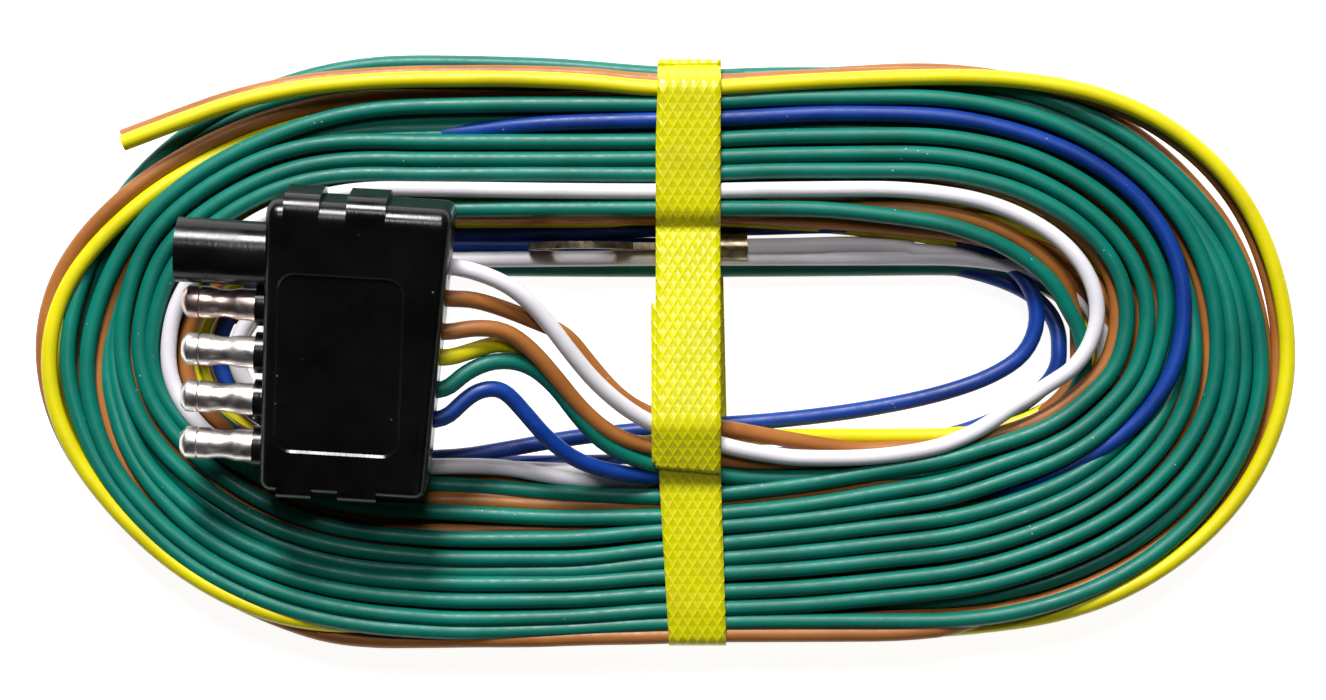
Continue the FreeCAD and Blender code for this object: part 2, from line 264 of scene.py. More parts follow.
def track(turn, inward, height):
    """A point of the hank. Turns count from the middle of the near side, towards +X."""
    part = turn % 1.0
    if height < GAP_BELOW:
        nearness = math.exp(-((part - GAP_AT) / GAP_SPREAD) ** 2)
        inward += GAP * nearness * max(0.0, 1 - inward / GAP_DEPTH)
    wide = END_WIDE - inward
    if part < STRAIGHT_SHARE or part >= 1 - STRAIGHT_SHARE:
        along = part if part < 0.5 else part - 1
        x, y = STRAIGHT * along / STRAIGHT_SHARE, -wide
    elif 0.5 - STRAIGHT_SHARE <= part < 0.5 + STRAIGHT_SHARE:
        x, y = STRAIGHT * (0.5 - part) / STRAIGHT_SHARE, wide
    else:
        side, middle = (1, 0.25) if part < 0.5 else (-1, 0.75)
        long = (END_RIGHT if side > 0 else END_LEFT) - inward
        angle = side * (part - middle) / (0.5 - 2 * STRAIGHT_SHARE) * math.pi
        full = 1 + FULLNESS[side, 1 if angle > 0 else -1] * math.sin(2 * angle) ** 2
        x = side * (STRAIGHT + full * long * math.cos(angle))
        y = full * wide * math.sin(angle)
    lift = TAPE_LIFT * math.exp(-((x - TAPE_X) / TAPE_LIFT_SPREAD) ** 2)
    return Vector((x, y + MID_Y, height + lift))


def glide(keys, turn):
    """Values at a turn between keys: cubic, without overshoot."""
    last = len(keys) - 1
    i = max(0, min(last - 1, sum(1 for key in keys if key[0] <= turn) - 1))

    def slope(k, v):
        if k == 0 or k == last:
            return 0.0
        before = (keys[k][v] - keys[k - 1][v]) / (keys[k][0] - keys[k - 1][0])
        after = (keys[k + 1][v] - keys[k][v]) / (keys[k + 1][0] - keys[k][0])
        return 0.0 if before * after <= 0 else 2 * before * after / (before + after)

    a, b = keys[i], keys[i + 1]
    span = b[0] - a[0]
    t = min(1.0, max(0.0, (turn - a[0]) / span))
    values = []
    for v in range(1, len(a)):
        values.append((2 * t**3 - 3 * t**2 + 1) * a[v] + (3 * t**2 - 2 * t**3) * b[v]
                      + (t**3 - 2 * t**2 + t) * span * slope(i, v)
                      + (t**3 - t**2) * span * slope(i + 1, v))
    return values


def wound(keys):
    """Turns of a wire: (turn, point, roll) along its (turn, inward, height, roll) keys."""
    start, end = keys[0][0], keys[-1][0]
    count = max(2, round((end - start) * STEPS_PER_TURN))
    rows = []
    for k in range(count + 1):
        turn = start + (end - start) * k / count
        inward, height, roll = glide(keys, turn)
        rows.append((turn, track(turn, inward, height), math.radians(roll)))
    return rows


def partner(rows):
    """The bonded wire beside a wound one: under it, rolled inwards by its angle."""
    points = [row[1] for row in rows]
    beside = []
    for k, (_, point, roll) in enumerate(rows):
        along = points[min(k + 1, len(points) - 1)] - points[max(k - 1, 0)]
        inwards = Vector((0, 0, 1)).cross(along).normalized()
        beside.append(point + (inwards * math.sin(roll) - Vector((0, 0, math.cos(roll)))) * BOND)
    return beside


# Green turns seen on top, numbered from the outside in. Each runs from the far side round
# the left end, the near side and the right end, and back to the far side. A lane's inward place
# is given at each station, a phase of its turn.
STATIONS = (0.5, 0.55, 0.6, 0.65, 0.69, 0.73, 0.765, 0.8, 0.83, 0.88, 0.92, 0.96, 1.0, 1.05,
            1.1, 1.15, 1.2, 1.25, 1.28, 1.31, 1.34, 1.37, 1.4, 1.45)
INWARD = {
    1: (-0.5, -1.9, -2.3, -1.2, 0.6, 3.3, 3.2, 1.3, 0.2, 1.3, 0.6, 1.0, 1.9, 2.2,
        2.2, 2.3, 3.1, 3.9, 4.8, 5.1, 3.4, 1.0, -0.2, -0.5),
    "low": (0.6, 0.4, 0.4, 0.8, 2.0, 4.4, 4.8, 3.4, 2.2, 3.2, 2.6, 3.0, 4.2, 4.5,
            4.9, 5.4, 5.7, 6.3, 6.8, 7.1, 5.6, 2.6, 0.8, 0.2),
    2: (4.2, 4.2, 4.5, 5.9, 6.1, 6.8, 5.7, 3.1, 2.3, 3.4, 2.5, 2.8, 3.9, 4.5,
        6.1, 7.7, 7.9, 8.3, 8.2, 8.2, 7.8, 6.6, 5.0, 4.2),
    3: (5.6, 5.8, 6.2, 7.4, 7.9, 9.0, 8.6, 6.1, 4.8, 6.0, 5.2, 5.3, 6.3, 7.0,
        8.7, 10.6, 10.8, 10.5, 10.1, 9.0, 6.9, 4.3, 3.1, 3.3),
    4: (7.0, 7.2, 7.6, 7.9, 8.4, 9.9, 9.9, 7.6, 7.1, 8.4, 7.7, 7.8, 8.9, 9.8,
        11.6, 13.4, 13.8, 13.8, 13.3, 12.4, 10.8, 8.6, 6.2, 5.6),
    5: (8.4, 8.4, 8.6, 9.0, 9.4, 10.6, 11.2, 9.3, 9.3, 10.0, 9.5, 9.5, 10.9, 12.2,
        14.1, 16.1, 16.4, 15.8, 14.5, 13.0, 11.4, 9.4, 8.0, 7.2),
    6: (9.7, 9.7, 9.7, 8.3, 8.4, 10.8, 11.7, 11.0, 11.2, 12.3, 11.4, 11.4, 12.9, 14.6,
        16.7, 18.5, 18.7, 17.6, 15.8, 14.0, 12.4, 10.4, 9.0, 8.6),
    7: (12.2, 12.3, 12.3, 11.2, 11.2, 13.4, 14.3, 14.2, 14.3, 15.0, 14.2, 14.3, 15.6, 17.0,
        19.4, 21.9, 21.7, 19.3, 16.9, 14.7, 12.4, 9.9, 8.7, 8.9),
    8: (14.5, 14.4, 14.5, 13.3, 13.6, 15.4, 16.0, 16.6, 17.5, 18.7, 18.1, 17.4, 17.6, 19.0,
        21.9, 24.4, 24.2, 21.8, 19.7, 17.7, 15.3, 12.7, 11.4, 11.6),
    9: (19.5, 19.5, 19.6, 19.6, 19.8, 20.0, 20.0, 20.5, 21.5, 22.5, 22.0, 21.0, 20.5, 22.1,
        25.1, 27.2, 27.2, 24.9, 22.8, 20.2, 17.6, 15.2, 13.9, 13.9),
}
# Height and roll of the same turns: (turn, height, roll)
RISE = {
    1: [(0.5, 9.6, 20), (0.65, 8.8, 20), (0.69, 9.4, 10), (0.73, 12.0, 0), (0.8, 13.0, 0),
        (1.0, 12.9, 8), (1.08, 13.1, 8), (1.13, 13.5, 12), (1.2, 12.9, 0), (1.25, 12.4, -22),
        (1.31, 11.6, -28), (1.37, 10.0, -40), (1.45, 9.2, 0)],
    "low": [(0.5, 8.6, 0), (0.73, 8.6, 0), (1.0, 9.6, 0), (1.1, 10.4, 0), (1.15, 11.2, 0),
            (1.25, 12.2, 0), (1.31, 11.0, 0), (1.37, 9.0, 0), (1.45, 8.4, 0)],
    2: [(0.5, 13.2, 0), (0.69, 13.2, 20), (0.73, 13.2, 34), (0.82, 13.3, 36), (0.86, 13.2, 10),
        (1.0, 13.2, 8), (1.25, 13.2, 4), (1.29, 12.2, 0), (1.33, 10.8, 0), (1.45, 10.7, 0)],
    3: [(0.5, 10.8, 0), (0.73, 10.9, 0), (0.77, 11.6, 0), (0.81, 13.0, 0), (1.0, 13.2, 10),
        (1.2, 13.2, 10), (1.24, 13.2, 20), (1.31, 13.3, 18), (1.37, 13.2, 0), (1.45, 13.2, 0)],
    4: [(0.5, 10.8, 0), (0.74, 10.8, 0), (0.78, 12.2, 0), (0.81, 13.1, 4), (1.0, 13.2, 4),
        (1.2, 13.2, 25), (1.25, 12.8, 20), (1.28, 11.6, 0), (1.31, 10.9, 0), (1.45, 10.7, 0)],
    5: [(0.5, 10.8, 0), (0.77, 10.7, 0), (0.83, 11.8, 0), (0.92, 12.4, 0), (1.05, 13.1, 6),
        (1.18, 13.1, 4), (1.22, 12.2, 0), (1.25, 11.2, 0), (1.28, 10.8, 0), (1.45, 10.8, 0)],
    6: [(0.5, 13.2, 6), (0.73, 13.2, 10), (0.77, 13.2, 34), (0.88, 13.2, 36), (0.91, 13.1, 6),
        (1.05, 13.1, 0), (1.15, 12.8, 0), (1.19, 11.8, 0), (1.23, 10.8, 0), (1.45, 10.8, 0)],
    7: [(0.5, 13.2, 6), (0.88, 13.0, 6), (0.93, 13.0, 36), (1.0, 13.1, 30), (1.05, 13.2, 6),
        (1.45, 13.2, 4)],
    8: [(0.5, 13.2, 4), (0.7, 13.1, 0), (0.83, 12.4, 0), (0.92, 12.8, 48), (1.08, 13.2, 50),
        (1.13, 13.2, 15), (1.25, 13.2, 4), (1.45, 13.2, 4)],
    9: [(0.5, 13.0, 24), (0.55, 12.6, 24), (0.62, 11.6, 0), (0.765, 10.4, 0), (0.92, 10.8, 30),
        (0.98, 12.4, 45), (1.08, 13.2, 34), (1.2, 13.2, 32), (1.3, 13.2, 24), (1.37, 13.2, 6),
        (1.45, 13.2, 4)],
}
LAYER_2 = 8.45                  # height of the coloured wire in the middle layer
LAYER_1 = 3.65
# The green turns from the hank's inside to its outside; the m turns are hidden under others
GREEN_ORDER = [9, 8, 7, 6, 5, 4, 3, 2, "m4", "m3", "m2", "low", 1]


def turn_keys(slot, start):
    """Keys of one green turn, from one crossing of the far side almost to the next."""
    if slot in INWARD:
        return [(start + phase - 0.5, inward, *glide(RISE[slot], phase))
                for phase, inward in zip(STATIONS, INWARD[slot])]
    inward, roll = 1.2 + 2.4 * (int(slot[1:]) - 1), rng.uniform(-6, 6)
    return [(start + phase - 0.5, inward, LAYER_2, roll) for phase in (0.5, 0.75, 1.0, 1.25)]


# The first green turn goes down inside the hank; the second climbs back out at the right end
green_keys = [(0.0, 24.9, 14.2, 60), (0.035, 23.2, 12.9, 84), (0.12, 24.6, 11.6, 70),
              (0.2, 26.6, 7.6, 20), (0.3, 27.4, 4.2, 0), (0.5, 28.1, 3.8, 0),
              (0.75, 26.8, 3.8, 0), (0.95, 24.6, 3.8, 0), (1.12, 27.0, 5.4, 0),
              (1.2, 28.4, 9.4, 20), (1.26, 29.8, 9.8, 10), (1.297, 29.4, 10.4, -20),
              (1.33, 26.9, 11.4, -55), (1.363, 23.8, 12.4, -60), (1.397, 21.2, 13.0, -45),
              (1.447, 19.5, 13.2, 10)]
for turn, slot in enumerate(GREEN_ORDER):
    green_keys += turn_keys(slot, 1.5 + turn)
last = 1.5 + len(GREEN_ORDER)
green_keys += [(last, 0.0, 6.8, 0), (last + 0.2, 3.6, 6.4, 0)]

yellow_keys = [(0.0, 29.0, 12.0, 0), (0.035, 29.2, 9.2, -90), (0.12, 29.2, 6.0, -135),
               (0.25, 28.2, 6.4, -140), (0.5, 20.6, LAYER_2, -172), (1.05, 20.6, LAYER_2, -172),
               (1.22, 23.8, 6.2, -172), (1.34, 23.4, 6.2, -172)]
YELLOW_LANES = [(18.0 - 2.4 * k, LAYER_2) for k in range(3)]
YELLOW_LANES += [(21.4 - 2.37 * k, LAYER_1) for k in range(10)]
for turn, (inward, height) in enumerate(YELLOW_LANES):
    roll = rng.uniform(-5, 5)
    yellow_keys += [(1.5 + turn + 0.25 * k, inward, height, roll) for k in range(4)]

# The outermost turn: the pair rolls over, so either colour comes to the top. Keys are
# (turn past the last lane, inward, height, roll).
last = 1.5 + len(YELLOW_LANES)
OUTERMOST = [
    (0.0, 5.4, 8.6, -88), (0.1, 5.2, 9.2, -88), (0.155, 4.9, 10.6, -90), (0.195, 3.6, 12.4, -84),
    (0.235, 1.0, 13.0, -45), (0.265, 0.3, 13.0, -20), (0.3, -0.6, 12.9, -8),
    (0.33, -1.3, 12.9, -5), (0.355, -0.8, 12.8, -8), (0.375, 0.5, 11.9, -50),
    (0.395, 1.6, 11.2, -90), (0.42, 1.4, 10.7, -122), (0.45, 0.7, 10.6, -150),
    (0.48, 0.5, 10.5, -165), (0.525, 0.9, 10.4, -165), (0.587, 0.85, 10.5, -168),
    (0.61, 0.9, 10.4, -180), (0.622, 0.8, 9.9, -225), (0.632, 0.6, 10.9, -270),
    (0.645, 0.3, 12.2, -310), (0.66, 0.1, 12.9, -335), (0.675, 0.1, 12.9, -345),
    (0.7, 0.1, 12.9, -345), (0.72, 0.2, 12.9, -345), (0.75, 0.1, 12.9, -342),
    (0.785, 0.5, 12.9, -342), (0.813, 0.2, 13.0, -342), (0.847, -0.4, 13.1, -348),
    (0.863, -0.3, 13.1, -358), (0.888, 0.1, 13.4, -372), (0.913, 0.4, 13.6, -378),
    (0.95, 1.1, 13.9, -382), (0.977, 1.8, 14.0, -385), (1.0, 2.0, 14.0, -390),
    (1.033, 0.9, 14.1, -388), (1.067, 0.5, 14.2, -386), (1.1, 0.6, 14.4, -386)]
yellow_keys += [(last + step, inward, height, roll) for step, inward, height, roll in OUTERMOST]

white_keys = [(0.0, 30.6, 16.4, 0), (0.025, 28.0, 15.4, 0), (0.053, 26.3, 14.4, 0),
              (0.07, 26.2, 14.2, 0), (0.087, 26.5, 14.0, 0), (0.103, 27.3, 13.8, 0),
              (0.137, 30.0, 13.4, 0), (0.165, 32.1, 13.2, 0), (0.2, 32.8, 13.2, 0),
              (0.235, 31.4, 13.2, 0), (0.263, 29.2, 13.2, 0), (0.297, 25.7, 13.2, 0),
              (0.347, 20.3, 13.2, 0), (0.38, 17.7, 13.3, 0), (0.413, 16.6, 13.3, 0),
              (0.447, 16.7, 13.3, 0), (0.5, 17.0, 13.3, 0), (0.65, 16.4, 13.2, 0),
              (0.713, 17.4, 13.2, 0), (0.747, 18.3, 13.2, 0), (0.8, 18.0, 13.0, 0),
              (0.88, 24.6, 11.4, 0), (0.93, 25.0, 11.6, 0), (0.963, 23.0, 11.4, 0),
              (1.0, 22.2, 10.8, 0), (1.06, 25.2, 9.8, 0), (1.25, 26.4, 8.8, 0),
              (1.5, 26.6, 7.0, 0), (1.75, 27.4, 7.4, 0), (2.0, 23.8, 5.4, 0),
              (2.25, 27.4, 6.0, 0), (2.4, 25.6, 7.6, 0)]
blue_keys = [(0.0, 23.4, 12.9, 0), (0.05, 20.6, 9.8, 0), (0.12, 20.4, 10.6, 0),
             (0.153, 20.3, 11.2, 0), (0.187, 19.8, 12.4, 0), (0.22, 18.5, 13.4, 0),
             (0.247, 16.7, 13.9, 0), (0.297, 13.0, 13.9, 0), (0.33, 10.3, 13.7, 0),
             (0.363, 7.7, 13.4, 0), (0.397, 5.7, 13.3, 0), (0.43, 5.5, 13.3, 0),
             (0.477, 6.3, 13.3, 0), (0.533, 6.8, 13.3, 0), (0.552, 7.1, 12.8, 0),
             (0.583, 8.2, 11.0, 0), (0.66, 9.6, 8.0, 0), (0.75, 14.0, 7.0, 0),
             (0.86, 24.6, 7.4, 0)]
navy_keys = [(1.46, 22.0, 6.4, 0), (1.52, 22.3, 3.6, 0), (1.75, 24.4, 4.6, 0),
             (2.0, 25.4, 4.0, 0), (2.25, 33.0, 6.6, 0), (2.34, 29.2, 4.4, 0), (2.42, 26.4, 3.4, 0),
             (2.5, 24.6, 3.2, 0), (2.72, 24.4, 3.6, 0)]

# Leads from the housing to the hank, eased into the first turn. They leave the housing as the
# design's leads do, then drift from them, by up to 8 mm where they join the hank.
LEADS = {
    "white": [(-26.0, 11.0, 28.6), (-21.2, 8.9, 27.6), (-17.0, 4.7, 25.6), (-13.4, -0.2, 23.8),
              (-9.6, -4.9, 21.8), (-4.8, -9.0, 19.0)],
    "brown_left": [(-26.8, 7.2, 26.9), (-22.4, 5.8, 25.2), (-18.0, 4.0, 23.6),
                   (-13.9, 2.3, 22.2), (-10.6, -2.0, 20.8), (-6.8, -6.5, 19.0),
                   (-2.6, -9.3, 16.9), (2.4, -10.6, 15.0), (6.4, -11.0, 12.8)],
    "brown_right": [(-27.0, 3.2, 25.9), (-22.6, 2.9, 25.0), (-18.9, 0.2, 23.8),
                    (-15.2, -4.2, 22.2), (-11.8, -8.6, 20.4), (-7.6, -12.3, 18.2),
                    (-2.6, -14.2, 15.9)],
    "yellow": [(-28.2, -0.4, 24.3), (-23.4, 1.2, 22.4), (-19.0, -0.3, 20.9), (-15.4, -4.6, 19.6),
               (-12.0, -9.2, 18.0), (-7.8, -12.8, 16.2), (-2.6, -14.0, 13.8)],
    "green": [(-28.4, -3.2, 23.9), (-24.2, -1.4, 23.2), (-19.6, -1.9, 22.2), (-15.7, -5.0, 21.1),
              (-12.4, -9.6, 19.8), (-9.0, -13.4, 18.1), (-4.4, -15.9, 16.2)],
    "blue": [(-28.4, -7.0, 22.6), (-26.0, -5.6, 22.4), (-23.0, -5.6, 21.8), (-20.0, -9.0, 20.8),
             (-16.6, -13.1, 19.6), (-12.2, -16.4, 17.9), (-6.2, -18.1, 15.8)],
}
BLUE_STRAND = [(-32.0, -16.2, 7.8), (-24.0, -14.9, 7.7), (-13.0, -12.9, 7.6), (0.0, -11.6, 7.8),
               (14.0, -10.8, 7.6), (26.0, -9.5, 7.4), (35.5, -7.9, 7.4), (43.0, -6.1, 7.5),
               (49.5, -3.7, 7.6), (54.3, -0.4, 7.7), (56.1, 5.0, 7.8), (54.3, 10.6, 7.8),
               (49.4, 14.4, 7.7), (43.0, 16.8, 7.6), (34.0, 18.2, 7.9), (25.0, 18.6, 8.6)]
TAIL = [(-45.0, 39.3, 14.6), (-54.0, 38.3, 15.0), (-63.2, 36.2, 15.1), (-72.0, 33.0, 15.2),
        (-79.1, 30.3, 15.2)]
GROUND_END = [(36.5, 15.6, 7.6), (28.0, 15.8, 8.0), (20.0, 15.5, 8.3), (12.6, 15.4, 8.3)]

# Connector's place, as the design has it
CONNECTOR = (Matrix.Translation((-44.1, 0.75, 25.8)) @ Matrix.Rotation(math.radians(-3.4), 4, "Z")
             @ Matrix.Rotation(math.radians(15.0), 4, "X"))
EXIT_Y = {"white": 12.4, "brown_left": 7.6, "brown_right": 2.6, "yellow": -1.2,
          "green": -6.1, "blue": -10.5}


def lead(name):
    """A wire's first points: from just inside the housing to the hank."""
    y = EXIT_Y[name]
    start = [CONNECTOR @ Vector((x, y, 0)) for x in (11.0, 13.3)]
    return start + [Vector(p) for p in LEADS[name]]


def wire_object(name, points, material):
    """A wire: one smooth spline through control points, with a round section."""
    curve = bpy.data.curves.new(name, "CURVE")
    curve.dimensions = "3D"
    curve.bevel_depth = WIRE_R * MM
    curve.bevel_resolution = 4
    curve.resolution_u = 4
    curve.use_fill_caps = True
    spline = curve.splines.new("NURBS")
    spline.points.add(len(points) - 1)
    for control, point in zip(spline.points, points):
        control.co = (*(Vector(point) * MM), 1.0)
    spline.order_u = 3
    spline.use_endpoint_u = True
    curve.materials.append(material)
    obj = bpy.data.objects.new(name, curve)
    bpy.context.scene.collection.objects.link(obj)
    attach(obj, "root")
    return obj


# The brown wires leave out their turns' first points, where their own leads come in
green_rows = wound(green_keys)
green_points = lead("green") + [row[1] for row in green_rows]
brown_right_points = lead("brown_right") + partner(green_rows)[2:]

yellow_rows = wound(yellow_keys)
tail = [Vector(p) for p in TAIL]
tail_rows = yellow_rows + [(0, p, math.radians(-26)) for p in tail]
yellow_beside = partner(tail_rows)
yellow_points = lead("yellow") + [row[1] for row in yellow_rows] + tail
brown_left_points = lead("brown_left") + yellow_beside[6:]

white_points = lead("white") + [row[1] for row in wound(white_keys)]
white_points += [Vector(p) for p in GROUND_END]
blue_points = lead("blue") + [row[1] for row in wound(blue_keys)]
blue_points += [Vector(p) for p in BLUE_STRAND] + [row[1] for row in wound(navy_keys)]

wires = {
    "white": wire_object("wire_white", white_points, WHITE),
    "brown_left": wire_object("wire_brown_left", brown_left_points, BROWN),
    "brown_right": wire_object("wire_brown_right", brown_right_points, BROWN),
    "yellow": wire_object("wire_yellow", yellow_points, YELLOW),
    "green": wire_object("wire_green", green_points, GREEN),
    "blue": wire_object("wire_blue", blue_points, BLUE),
}
# The design's solids that each wire stands for
REPLACED = {
    "white": ("lead_white", "coil_white", "ground_tail"),
    "brown_left": ("lead_brown_left", "coil_yellow_brown", "tail_brown"),
    "brown_right": ("lead_brown_right", "coil_green_brown"),
    "yellow": ("lead_yellow", "coil_yellow_brown", "tail_yellow"),
    "green": ("lead_green", "coil_green_brown"),
    "blue": ("lead_blue", "coil_blue", "inner_turn_blue"),
}
for name, wire in wires.items():
    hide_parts(*REPLACED[name])


# ---------------------------------------------------------- tape and wire ends

def wire_line(obj):
    """The points of a wire's own line, in millimetres."""
    curve = obj.data.copy()
    curve.bevel_depth = 0
    bare = bpy.data.objects.new("bare", curve)
    bpy.context.scene.collection.objects.link(bare)
    depsgraph = bpy.context.evaluated_depsgraph_get()
    mesh = bpy.data.meshes.new_from_object(bare.evaluated_get(depsgraph))
    places = [v.co / MM for v in mesh.vertices]
    bpy.data.objects.remove(bare)
    return places


TAPE_T = 0.22                   # one layer
TAPE_LEFT, TAPE_RIGHT = -1.0, 8.4
CREASES = (18.3, -19.7)         # where the tape turns into and out of the dip
CREASE_Z = (13.0, 15.2)
EDGE_LINE = [(43.4, 12.2), (43.75, 9.0), (43.7, 5.5), (43.2, 2.6), (42.0, 0.8), (40.0, 0.24)]
FAR_TUCK = 1.2                  # the far edge is drawn in this much more
SIDE_Y = 43.2                   # the tape leaves the hank's top for its sides here
START_Y = 6.6                   # where the tape's first end comes out of the over layer
OVER_END_Y = -17.6
UNDERSIDE_Z = 0.24
CLEARANCE = 0.12                # the tape's middle stands this far off the insulation
RIPPLE = 0.05
RIPPLE_ABOVE = 8
lines = {name: wire_line(wire) for name, wire in wires.items()}


def upper_hull(places):
    """The taut line over the tops of a set of (y, z) places, from high y to low y."""
    hull = []
    for y, z in sorted(places, reverse=True):
        while len(hull) > 1:
            (y1, z1), (y2, z2) = hull[-2:]
            if (z2 - z1) * (y - y1) <= (z - z1) * (y2 - y1):
                hull.append((y, z))
                break
            hull.pop()
        else:
            hull.append((y, z))
    return hull


def wire_tops():
    """(y, z) places round the upper sides of the wires under the tape."""
    places = []
    for line in lines.values():
        for point in line:
            if TAPE_LEFT - 1.5 < point.x < TAPE_RIGHT + 2:
                for step in range(9):
                    angle = math.radians(10 + 20 * step)
                    reach = WIRE_R + CLEARANCE
                    places.append((point.y + reach * math.cos(angle),
                                   point.z + reach * math.sin(angle)))
    return places


def along_path(path):
    """Distances along a (y, z) path."""
    reach = [0.0]
    for a, b in zip(path, path[1:]):
        reach.append(reach[-1] + math.dist(a, b))
    return reach


def at(path, reach, s):
    """The (y, z) place at a distance along a path."""
    s = min(max(s, 0.0), reach[-1])
    k = max(i for i in range(len(reach) - 1) if reach[i] <= s)
    t = (s - reach[k]) / (reach[k + 1] - reach[k])
    (y0, z0), (y1, z1) = path[k], path[k + 1]
    return y0 + (y1 - y0) * t, z0 + (z1 - z0) * t


def even(path, step, rounds):
    """A path in even steps, its corners eased a little."""
    path = [p for k, p in enumerate(path) if k == 0 or math.dist(p, path[k - 1]) > 0.02]
    reach = along_path(path)
    count = round(reach[-1] / step)
    spots = [at(path, reach, reach[-1] * k / count) for k in range(count + 1)]
    for _ in range(rounds):
        spots = [spots[0]] + [((a[0] + 2 * b[0] + c[0]) / 4, (a[1] + 2 * b[1] + c[1]) / 4)
                              for a, b, c in zip(spots, spots[1:], spots[2:])] + [spots[-1]]
    return spots


def ribbon(name, path, span, edges, lift, closed=False, slant=0.0):
    """A layer of tape along a span of a (y, z) path; edges gives its two x at a place."""
    columns = 10
    reach = along_path(path)
    rows = span[1] - span[0]
    verts, faces, uvs = [], [], []
    for k in range(rows):
        for j in range(columns + 1):
            u = j / columns
            s = reach[span[0] + k] + slant * u * k / (rows - 1)
            y, z = at(path, reach, s)
            y1, z1 = at(path, reach, s - 0.4)
            y2, z2 = at(path, reach, s + 0.4)
            size = math.hypot(y2 - y1, z2 - z1)
            y, z = y + lift * (z2 - z1) / size, z + lift * (y1 - y2) / size
            left, right = edges(y, z)
            x = left + (right - left) * u
            if z > RIPPLE_ABOVE:
                z += RIPPLE * math.sin(0.9 * y + 2 * x) * math.sin(0.35 * y)
            verts.append(Vector((x, y, z)) * MM)
            uvs.append((x, s))
    for k in range(rows if closed else rows - 1):
        n = (k + 1) % rows
        for j in range(columns):
            a, b = k * (columns + 1) + j, n * (columns + 1) + j
            faces.append((a, b, b + 1, a + 1))
    mesh = bpy.data.meshes.new(name)
    mesh.from_pydata(verts, [], faces)
    layer = mesh.uv_layers.new(name="millimetres")
    for polygon in mesh.polygons:
        polygon.use_smooth = True
        for loop in polygon.loop_indices:
            layer.data[loop].uv = uvs[mesh.loops[loop].vertex_index]
    mesh.materials.append(TAPE)
    obj = bpy.data.objects.new(name, mesh)
    bpy.context.scene.collection.objects.link(obj)
    solid = obj.modifiers.new("thickness", "SOLIDIFY")
    solid.thickness = TAPE_T * MM
    solid.offset = 0
    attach(obj, "root")
    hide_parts("binding_tape")
    return obj


def under_edges(y, z):
    """The first layer leans across the hank: further right near side and underneath."""
    if z < 4:
        return 0.3 - 0.012 * y, 9.4 - 0.024 * y
    near = max(0.0, -18.0 - y) / 25.4
    return -0.8 + 0.2 * (y < 0) + 1.5 * near, 8.45 + 0.85 * near


def over_edges(y, z):
    """The second layer, straight across the top."""
    return -1.06 + 0.4 * max(0.0, y - 30) / 13, 8.36 + 0.2 * max(0.0, y - 30) / 13


def step_edges(y, z):
    """The tape's first end, caught between the layers, a little off line."""
    return -1.72 + 0.1 * max(0.0, -6 - y) / 10, 7.6


tops = wire_tops()
profile = [(y - FAR_TUCK, z) for y, z in reversed(EDGE_LINE)]
for high, low in ((SIDE_Y, CREASES[0]), CREASES, (CREASES[1], -SIDE_Y)):
    places = [p for p in tops if low < p[0] < high]
    places += [(y, z) for y, z in zip(CREASES, CREASE_Z) if y in (high, low)]
    profile += upper_hull(places)
profile += [(-y, z) for y, z in EDGE_LINE]
over_top = even(profile, 0.5, 2)
underneath = [(-40.0 + 0.5 * k, UNDERSIDE_Z) for k in range(1, 160)]
loop = over_top + underneath
ribbon("tape_under", loop, (0, len(loop)), under_edges, 0.05, closed=True)
over_end = min(range(len(over_top)), key=lambda k: abs(over_top[k][0] - OVER_END_Y))
step_start = min(range(len(over_top)), key=lambda k: abs(over_top[k][0] - START_Y))
ribbon("tape_start", over_top, (step_start, over_end - 1), step_edges, 0.28)
over_start = min(k for k, p in enumerate(over_top) if p[1] > 3.5)
ribbon("tape_over", over_top, (over_start, over_end), over_edges, 0.52, slant=0.9)


# Cut ends of the two outer wires: copper strands flush with the insulation
STRAND_R = 0.12
STRAND_LENGTH = 8
STRAND_SIDES = 8


def strand_end(name, line):
    """Nineteen copper strands in a wire's last millimetres."""
    tip = line[-1]
    back = tip + (line[-3] - tip).normalized() * STRAND_LENGTH
    along = (tip - back).normalized()
    side = along.cross(Vector((0, 0, 1))).normalized()
    up = side.cross(along)
    spots = [(0.0, 0.0)]
    for count, ring in ((6, 0.26), (12, 0.52)):
        for k in range(count):
            angle = 2 * math.pi * k / count
            spots.append((ring * math.cos(angle), ring * math.sin(angle)))
    verts, faces = [], []
    for u, v in spots:
        start = len(verts)
        reach = rng.uniform(0.02, 0.18)
        for place in (back, tip + along * reach):
            for k in range(STRAND_SIDES):
                angle = 2 * math.pi * k / STRAND_SIDES
                spot = place + side * (u + STRAND_R * math.cos(angle))
                verts.append((spot + up * (v + STRAND_R * math.sin(angle))) * MM)
        front = start + STRAND_SIDES
        for k in range(STRAND_SIDES):
            n = (k + 1) % STRAND_SIDES
            faces.append((start + k, start + n, front + n, front + k))
        faces.append(tuple(front + k for k in range(STRAND_SIDES)))
        faces.append(tuple(front - 1 - k for k in range(STRAND_SIDES)))
    mesh = bpy.data.meshes.new(name)
    mesh.from_pydata(verts, [], faces)
    mesh.materials.append(COPPER)
    obj = bpy.data.objects.new(name, mesh)
    bpy.context.scene.collection.objects.link(obj)
    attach(obj, "root")
    return obj


for name, colour in (("yellow", "yellow"), ("brown_left", "brown")):
    strand_end("strands_" + name, lines[name])
    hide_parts("tail_conductor_" + colour)


# ------------------------------------------------------------- turned terminals

MATING_X = -12.5
PIN_REACH = 12.0
TIP = MATING_X - PIN_REACH
PIN_R = 2.3
SHOULDER_X = MATING_X - 1.5
BARREL_R = PIN_R - 0.4
BARREL_END = -10.4
POLE_Y = {"brown": 5.0, "yellow": -2.0, "green": -9.0, "blue": -16.0}
WAIST = 0.32


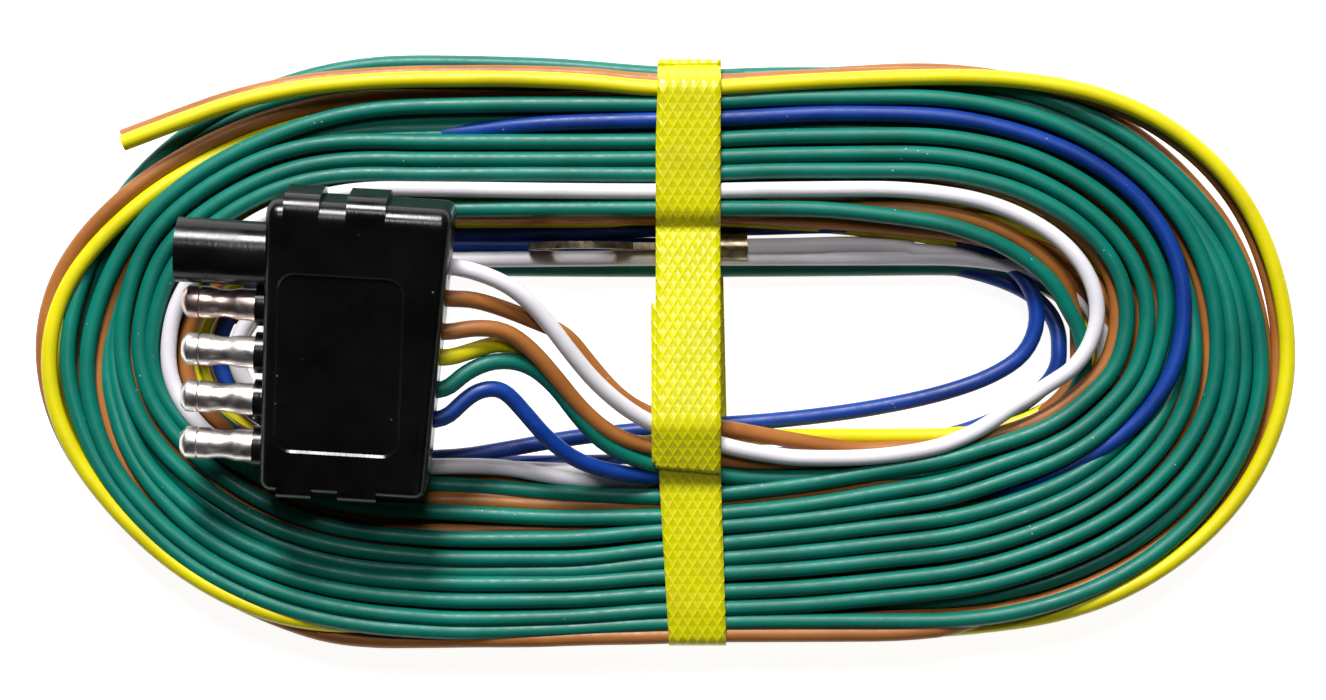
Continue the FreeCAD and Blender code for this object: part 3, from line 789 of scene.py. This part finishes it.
def bullet(pole, y):
    """A bullet terminal turned from its profile: chamfer, groove, waist, shoulder, barrel."""
    profile = [(TIP, 0.0), (TIP, PIN_R - 0.75), (TIP + 0.12, PIN_R - 0.6),
               (TIP + 0.65, PIN_R - 0.08), (TIP + 0.85, PIN_R), (TIP + 2.3, PIN_R),
               (TIP + 2.45, PIN_R - 0.12), (TIP + 2.6, PIN_R)]
    profile += [(TIP + 4 + 0.5 * k, PIN_R - WAIST * math.sin(math.pi * k / 8)) for k in range(9)]
    profile += [(SHOULDER_X - 0.1, PIN_R), (SHOULDER_X, BARREL_R), (BARREL_END, BARREL_R),
                (BARREL_END, 0.0)]
    sides = 64
    verts, faces = [], []
    for x, r in profile:
        for k in range(sides):
            angle = 2 * math.pi * k / sides
            spot = CONNECTOR @ Vector((x, y + r * math.cos(angle), r * math.sin(angle)))
            verts.append(spot * MM)
    for ring in range(len(profile) - 1):
        for k in range(sides):
            a, b = ring * sides + k, ring * sides + (k + 1) % sides
            faces.append((a, b, b + sides, a + sides))
    mesh = bpy.data.meshes.new("turned_" + pole)
    mesh.from_pydata(verts, [], faces)
    for polygon in mesh.polygons:
        polygon.use_smooth = True
    mesh.set_sharp_from_angle(angle=math.radians(35))
    mesh.materials.append(WARM_NICKEL if pole == "brown" else NICKEL)
    obj = bpy.data.objects.new("turned_" + pole, mesh)
    bpy.context.scene.collection.objects.link(obj)
    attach(obj, "root")
    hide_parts("bullet_" + pole)


for pole, y in POLE_Y.items():
    bullet(pole, y)


# ------------------------------------------------------------------- stage

def stage():
    """Pale floor and soft light from the far side."""
    bpy.ops.mesh.primitive_plane_add(size=4)
    floor = bpy.context.object
    floor.name = "floor"
    material, _, _, shader = new_material("floor_white")
    shader.inputs["Base Color"].default_value = (0.45, 0.45, 0.45, 1)
    shader.inputs["Roughness"].default_value = 0.9
    shader.inputs["Emission Color"].default_value = (1, 1, 1, 1)
    shader.inputs["Emission Strength"].default_value = 0.92
    floor.data.materials.append(material)
    for name, place, size, power in (("key", (-0.15, 0.88, 0.68), 0.36, 20.0),
                                     ("fill", (0.3, -0.9, 0.7), 0.6, 0.25),
                                     ("top", (0.0, 0.5, 1.15), 0.3, 4.5)):
        light = bpy.data.lights.new(name, "AREA")
        light.shape = "DISK"
        light.size = size
        light.energy = power
        lamp = bpy.data.objects.new(name, light)
        lamp.location = place
        lamp.rotation_euler = (-Vector(place)).to_track_quat("-Z", "Y").to_euler()
        bpy.context.scene.collection.objects.link(lamp)
    world = bpy.data.worlds.new("studio")
    world.use_nodes = True
    world.node_tree.nodes["Background"].inputs["Color"].default_value = (1, 1, 1, 1)
    world.node_tree.nodes["Background"].inputs["Strength"].default_value = 0.02
    bpy.context.scene.world = world
    bpy.context.scene.view_settings.view_transform = "Standard"


SENSOR = 36
EYE_HEIGHT = 450
VIEW_WIDTH = 200.909            # width of floor in the picture


def camera():
    """Straight above the hank."""
    data = bpy.data.cameras.new("camera")
    data.sensor_width = SENSOR
    data.lens = SENSOR * EYE_HEIGHT / VIEW_WIDTH
    eye = bpy.data.objects.new("camera", data)
    eye.location = (0, 0, EYE_HEIGHT * MM)
    bpy.context.scene.collection.objects.link(eye)
    bpy.context.scene.camera = eye


stage()
camera()
